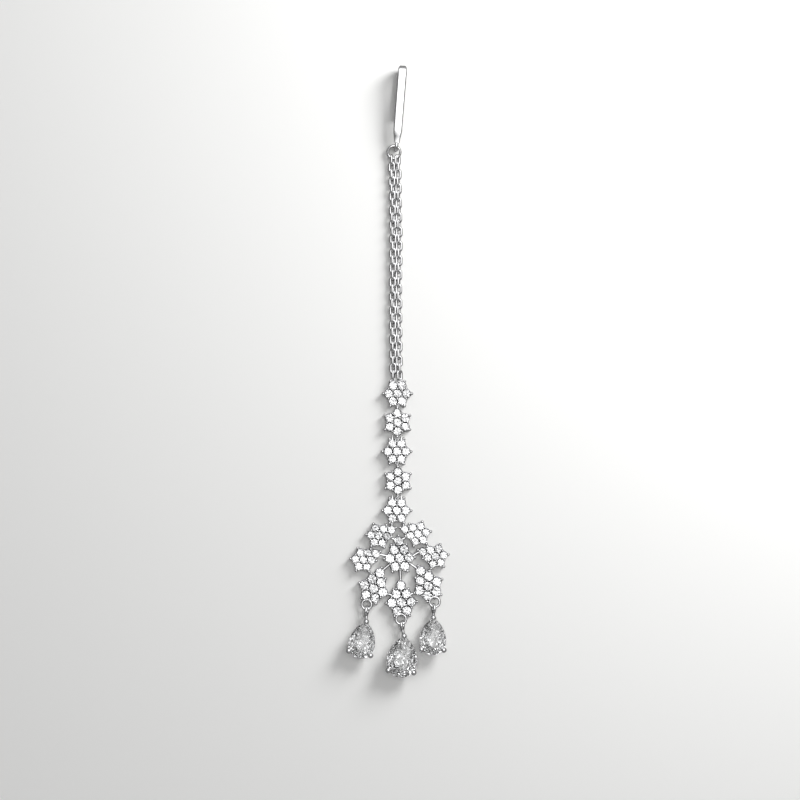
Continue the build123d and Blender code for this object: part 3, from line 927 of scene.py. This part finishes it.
class TIKKA_OT_hook(Operator):
    """Draws the hook: a strip bent back on itself, with a tapered neck and an eye"""
    bl_idname = "tikka.hook"
    bl_label = "Hook"

    def execute(self, context):
        hook = context.scene.tikka_hook
        along = Vector((sin(hook.lean), cos(hook.lean), 0))
        sideways = Vector((along.y, -along.x, 0))
        foot = spot(HOOK_EYE_AT)
        eye = foot + UP * (hook.eye_radius + hook.eye_wire / 2)

        def at(run, height):
            return foot + along * run + UP * height

        # The front leg slopes up from the neck to the bend, which comes down to the back leg on the floor.
        neck_run = hook.eye_radius * cos(hook.neck_angle)
        neck_height = eye.z + hook.eye_radius * sin(hook.neck_angle)
        bend_out = hook.reach - hook.thickness / 2
        low = hook.thickness / 2
        slope = atan2(hook.front_height - neck_height, bend_out - neck_run)
        radius = (hook.front_height - low) / (1 + 1 / cos(slope) + sin(slope) / cos(slope))
        centre = at(bend_out - radius, low + radius)
        front = along * cos(slope) + UP * sin(slope)
        over = sideways.cross(front)
        top = centre + over * (radius if over.z > 0 else -radius)
        start = at(neck_run, neck_height)
        neck_end = start + front * hook.neck
        section = Matrix((sideways, over, front)).transposed().to_4x4()

        bm = bmesh.new()
        corners = bmesh.ops.create_circle(bm, cap_ends=True, segments=4, radius=sqrt(0.5),
                                          matrix=Matrix.Rotation(pi / 4, 4, "Z"))["verts"]
        bmesh.ops.scale(bm, vec=(hook.width, hook.thickness, 1.0), verts=corners)
        bmesh.ops.bevel(bm, geom=corners, affect="VERTICES", offset=hook.thickness * hook.edge, segments=6,
                        profile=0.5, material=-1)
        bmesh.ops.delete(bm, geom=list(bm.faces), context="FACES_ONLY")
        bmesh.ops.transform(bm, matrix=Matrix.Translation(neck_end) @ section, verts=list(bm.verts))
        first = list(bm.edges)

        def tapered(edges, move, about, scale):
            """Draws edges out and scales their new ends about a point, in the front leg's own axes."""
            edges, verts = drawn(bm, edges, move)
            space = (Matrix.Translation(about) @ section).inverted()
            bmesh.ops.scale(bm, vec=scale, space=space, verts=verts)
            return edges

        leg, ends = drawn(bm, first, top - neck_end)
        last = spun(bm, leg + ends, centre, -sideways, pi + slope, 18)
        where = at(hook.reach - hook.back_leg, low)
        tip, ends = drawn(bm, edges_of(last), where - at(bend_out - radius, low))
        for step, shrink in HOOK_TIP:
            move = -along * step * MM
            where = where + move
            tip = tapered(tip, move, where, (shrink, shrink, shrink))
        bmesh.ops.contextual_create(bm, geom=tip)

        neck = first
        where = neck_end
        move = (start - neck_end) / NECK_STEPS
        full = Vector((hook.width, hook.thickness))
        least = Vector((hook.neck_width, hook.neck_thickness))
        before = full
        for step in range(1, NECK_STEPS + 1):
            share = step / NECK_STEPS
            after = full.lerp(least, share * share * (3 - 2 * share))
            where = where + move
            neck = tapered(neck, move, where, (after.x / before.x, after.y / before.y, 1.0))
            before = after
        bmesh.ops.contextual_create(bm, geom=neck)

        for vert in bm.verts:
            off = vert.co - foot
            past = max(0.0, off.dot(along) - hook.reach + hook.bend_round) / hook.bend_round
            vert.co -= sideways * off.dot(sideways) * hook.bend_narrow * past ** 2
        ring(bm, eye, hook.eye_radius, hook.eye_wire, axle=sideways, steps=36, sides=14)
        finished(bm, "hook_strip", "polished_silver", ["hook"], DRAWN_EDGE)
        return {"FINISHED"}


class TIKKA_OT_rings(Operator):
    """Makes the jump rings of the hook and of the three drops"""
    bl_idname = "tikka.rings"
    bl_label = "Jump rings"

    def execute(self, context):
        hook = context.scene.tikka_hook
        links = context.scene.tikka_links
        eye_height = hook.eye_radius + hook.eye_wire / 2
        rise = eye_height - context.scene.tikka_chain.height
        tilt = asin(rise / (2 * hook.ring_radius))
        bm = bmesh.new()
        ring(bm, spot(HOOK_RING_AT, eye_height - rise / 2), hook.ring_radius, links.ring_wire,
             axle=(0, -sin(tilt), cos(tilt)), steps=40)
        finished(bm, "hook_jump_ring", "polished_silver", ["hook_ring"], DRAWN_EDGE)
        for name, drop in DROPS.items():
            place = spot(drop["ring"], links.drop_height)
            bm = bmesh.new()
            ring(bm, place, drop["ring_radius"] * MM, links.ring_wire, steps=36)
            finished(bm, f"drop_jump_ring_{name}", "polished_silver", [f"drop_ring_{name}"], DRAWN_EDGE)
        return {"FINISHED"}


class TIKKA_OT_chains(Operator):
    """Links the two strands of cable chain"""
    bl_idname = "tikka.chains"
    bl_label = "Chains"

    def execute(self, context):
        chain = context.scene.tikka_chain
        draw = Random(5)
        for name, side in (("left", -1), ("right", 1)):
            aside = side * chain.spacing / 2 / MM
            route = [spot((x + aside, y), chain.height) for x, y in CHAIN_LINE]
            eye = (FLOWERS[0][1] + CHAIN_EYES[name],
                   FLOWERS[0][2] + (context.scene.tikka_links.chain_eye_at + chain.end_gap) / MM)
            route.append(spot(eye, chain.height))
            runs = [(b - a).length for a, b in zip(route, route[1:])]
            pitch = sum(runs) / (chain.links - 1)
            link = self.link(pitch + 2 * chain.wire + chain.play, chain.width, chain.wire)
            bm = bmesh.new()
            # Each link sits a quarter turn from the last, and the strands differ, so that their links nest.
            for number in range(chain.links):
                place, direction = self.along(route, runs, pitch * number)
                ends = 2.0 ** -number + 2.0 ** -(chain.links - 1 - number)
                roll = chain.twist * (1 - ends) + (pi / 2) * number + (pi / 2 if side < 0 else -pi / 4 * ends)
                roll += draw.uniform(-chain.sway, chain.sway)
                matrix = Matrix.Translation(place) @ facing(direction) @ Matrix.Rotation(roll, 4, "Z")
                stamp(bm, link, matrix)
            finished(bm, f"cable_{name}", "polished_silver", [f"chain_{name}"], DRAWN_EDGE)
        return {"FINISHED"}

    def along(self, route, runs, distance):
        """The point and direction at a distance along a route."""
        for start, end, run in zip(route, route[1:], runs):
            if distance <= run + WELD:
                return start.lerp(end, distance / run), end - start
            distance -= run
        return route[-1], route[-1] - route[-2]

    def link(self, length, width, wire):
        """One oval link in the XZ plane, its length along Z."""
        bm = bmesh.new()
        reach = (width - wire) / 2
        half = (length - wire) / 2 - reach
        geometry = round_section(bm, wire / 2, 8, Matrix.Translation((reach, 0, half)))
        for height in (half, -half):
            last = spun(bm, geometry, (0, 0, height), (0, -1, 0), pi, 7)
            edges, verts = drawn(bm, edges_of(last), (0, 0, -2 * height))
            geometry = verts + edges
        bmesh.ops.remove_doubles(bm, verts=list(bm.verts), dist=WELD)
        return as_mesh(bm, "link")


def drop_matrix(drop):
    """Takes a pear from the origin, point towards +Y, to its place."""
    return Matrix.Translation(spot(drop["at"])) @ Matrix.Rotation(-radians(drop["lean"]), 4, "Z")


def girdle_foot(drop):
    """Height of the underside of a pear's girdle."""
    return (CULET_HEIGHT + PAVILION * drop["width"]) * MM


class TIKKA_OT_pears(Operator):
    """Cuts the three pear stones"""
    bl_idname = "tikka.pears"
    bl_label = "Pear stones"

    def execute(self, context):
        for name, drop in DROPS.items():
            stone = crushed(pear_brilliant(f"pear_cut_{name}", drop["width"] * MM, drop["length"] * MM))
            lift = Matrix.Translation(UP * (girdle_foot(drop) + HALF_GIRDLE * MM))
            bm = bmesh.new()
            stamp(bm, stone, drop_matrix(drop) @ lift)
            finished(bm, f"pear_{name}_stone", "pear_stone", [f"pear_{name}"])
        return {"FINISHED"}


class TIKKA_OT_drop_settings(Operator):
    """Builds the claw settings of the three pears, with their stems and loops"""
    bl_idname = "tikka.drop_settings"
    bl_label = "Pear settings"

    def execute(self, context):
        settings = context.scene.tikka_settings
        for name, drop in DROPS.items():
            matrix = drop_matrix(drop)
            radius = drop["width"] * MM / 2
            point = drop["length"] * MM - radius
            bm = bmesh.new()
            for inset, height in GALLERY:
                stamp(bm, self.gallery(radius, point, inset * MM, height * MM, settings.gallery_wire), matrix)
            wire = settings.prong_wire / 2
            angle = degrees(settings.prong_angle)
            for direction, edge in ((90, point), (-angle, radius), (180 + angle, radius)):
                stops = []
                for outside, from_girdle, height in PRONG:
                    height = height * MM + girdle_foot(drop) * from_girdle
                    stops.append(matrix @ Vector((*across((0, 0), edge + outside * MM, direction), height)))
                for start, end in zip(stops, stops[1:]):
                    rod(bm, start, end, wire)
                for stop in stops[:-1]:
                    ball(bm, stop, wire)
                ball(bm, stops[-1], settings.prong_ball / 2, segments=20, rings=14)
            loop_radius = drop["loop_radius"] * MM
            height = loop_radius + settings.stem_loop_wire / 2
            inner = matrix @ Vector((0, point - settings.stem_reach, height))
            loop = spot(drop["loop"], height)
            run = (inner - loop).normalized()
            axle = Matrix.Rotation(radians(drop["twist"]), 3, run) @ run.cross(UP)
            ring(bm, loop, loop_radius, settings.stem_loop_wire, axle=axle)
            rod(bm, loop + run * loop_radius, inner, settings.stem)
            node = f"drop_setting_{name}"
            finished(bm, f"{node}_claws", "polished_silver", [node], DRAWN_EDGE)
        return {"FINISHED"}

    def gallery(self, radius, point, inset, height, wire):
        """A round wire that follows a pear's outline, inset from it."""
        side = (radius ** 2 + point ** 2) / (2 * radius)
        within = sqrt((side - inset) ** 2 - (side - radius) ** 2)
        sweep = atan2(within, side - radius)
        section = Matrix.Translation((radius - inset, 0, height)) @ Matrix.Rotation(pi / 2, 4, "X")
        bm = bmesh.new()
        geometry = round_section(bm, wire / 2, 10, section)
        spun(bm, geometry, (radius - side, 0, height), UP, sweep, 10)
        last = spun(bm, geometry, (0, 0, height), -UP, pi, 18)
        spun(bm, last, (side - radius, 0, height), -UP, sweep, 10)
        bmesh.ops.holes_fill(bm, edges=[edge for edge in bm.edges if edge.is_boundary], sides=0)
        return as_mesh(bm, "gallery")


class TIKKA_OT_stage(Operator):
    """Sets the pale floor, the soft lights and the camera"""
    bl_idname = "tikka.stage"
    bl_label = "Stage"

    def execute(self, context):
        scene = context.scene
        studio = scene.tikka_studio
        bm = bmesh.new()
        bmesh.ops.create_circle(bm, cap_ends=True, segments=96, radius=studio.floor_radius)
        mesh = bpy.data.meshes.new("floor")
        bm.to_mesh(mesh)
        bm.free()
        mesh.materials.append(new_material("pale_floor", pale_floor))
        floor = bpy.data.objects.new("floor", mesh)
        scene.collection.objects.link(floor)

        light = bpy.data.lights.new("key", "AREA")
        light.shape = "DISK"
        light.size = studio.key_size
        light.energy = studio.key_power
        key = bpy.data.objects.new("key", light)
        key.location = studio.key_at
        key.rotation_mode = "QUATERNION"
        key.rotation_quaternion = (key.location - spot(KEY_AIM)).to_track_quat("Z", "Y")
        key.visible_glossy = False
        scene.collection.objects.link(key)

        scene.world = self.sky(studio)

        lens = bpy.data.cameras.new("camera")
        lens.sensor_width = SENSOR
        lens.lens = SENSOR * studio.camera_height / studio.view_width
        lens.clip_start = 10 * MM
        lens.clip_end = 5 * studio.floor_radius
        camera = bpy.data.objects.new("camera", lens)
        camera.location = spot(VIEW_AT, studio.camera_height)
        scene.collection.objects.link(camera)
        scene.camera = camera
        scene.view_settings.view_transform = "Standard"
        return {"FINISHED"}

    def sky(self, studio):
        """Dim room with a bright panel overhead, a card that metal mirrors and patches that stones see."""
        world = bpy.data.worlds.new("studio")
        world.use_nodes = True
        paint = Paint(world.node_tree)
        towards = paint.node("ShaderNodeTexCoord")["Generated"]
        up = paint.node("ShaderNodeSeparateXYZ", None, {"Vector": towards})["Z"]
        panel = self.panel(paint, towards, studio.panel_heading, studio.panel_rise, studio.panel_reach)
        low, high = HORIZON_EDGE
        dim = paint.ramp(up, [(0.0, studio.horizon), (low, studio.horizon), (high, studio.wall),
                              (1.0, studio.wall)])
        card = self.panel(paint, towards, studio.card_heading, studio.card_rise, studio.card_reach)
        dim = paint.mix(card * paint.mirrored(), dim, (studio.card,) * 3)
        noise = paint.node("ShaderNodeTexNoise", {"noise_dimensions": "3D"}, {
            "Vector": towards, "Scale": studio.patch_scale, "Detail": 0.0})["Fac"]
        patches = paint.ramp(noise, [(0.0, 0.0), (PATCH_EDGE[0], 0.0), (PATCH_EDGE[1], 1.0)])
        through = paint.node("ShaderNodeLightPath")["Is Transmission Ray"]
        dim = paint.mix(patches * through, dim, (studio.patches,) * 3)
        background = paint.node("ShaderNodeBackground", None, {
            "Color": paint.mix(panel, dim, (1.0, 1.0, 1.0)), "Strength": studio.sky})
        paint.node("ShaderNodeOutputWorld", None, {"Surface": background["Background"]})
        return world

    def panel(self, paint, towards, direction, rise, reach):
        """One inside a round panel of the sky, nought outside it."""
        middle = heading(degrees(direction), rise)
        near = paint.node("ShaderNodeVectorMath", {"operation": "DOT_PRODUCT"}, {0: towards, 1: middle})
        soft = radians(SOFT_EDGE)
        return paint.ramp(near["Value"], [(0.0, 0.0), (cos(reach + soft), 0.0), (cos(reach - soft), 1.0)])


BUILDERS = [
    TIKKA_OT_stage, TIKKA_OT_hook, TIKKA_OT_rings, TIKKA_OT_chains, TIKKA_OT_flowers, TIKKA_OT_fan,
    TIKKA_OT_round_stones, TIKKA_OT_drop_settings, TIKKA_OT_pears,
]


class TIKKA_PT_panel(Panel):
    """Sizes, colours and builders of the maang tikka"""
    bl_idname = "TIKKA_PT_panel"
    bl_label = "Maang Tikka"
    bl_space_type = "VIEW_3D"
    bl_region_type = "UI"
    bl_category = "Tikka"

    def draw(self, context):
        for name, group in GROUPS.items():
            box = self.layout.box()
            box.label(text=name.replace("_", " ").title())
            for key in group.__annotations__:
                box.prop(getattr(context.scene, name), key)
        for builder in BUILDERS:
            self.layout.operator(builder.bl_idname)


def register():
    for cls in (*GROUPS.values(), *BUILDERS, TIKKA_PT_panel):
        bpy.utils.register_class(cls)
    for name, group in GROUPS.items():
        setattr(bpy.types.Scene, name, PointerProperty(type=group))


def unregister():
    for name in GROUPS:
        delattr(bpy.types.Scene, name)
    for cls in (TIKKA_PT_panel, *reversed(BUILDERS), *reversed(list(GROUPS.values()))):
        bpy.utils.unregister_class(cls)


def main():
    register()
    bpy.ops.tikka.stage()
    bpy.ops.tikka.hook()
    bpy.ops.tikka.rings()
    bpy.ops.tikka.chains()
    bpy.ops.tikka.flowers()
    bpy.ops.tikka.fan()
    bpy.ops.tikka.round_stones()
    bpy.ops.tikka.drop_settings()
    bpy.ops.tikka.pears()


if __name__ == "__main__":
    main()
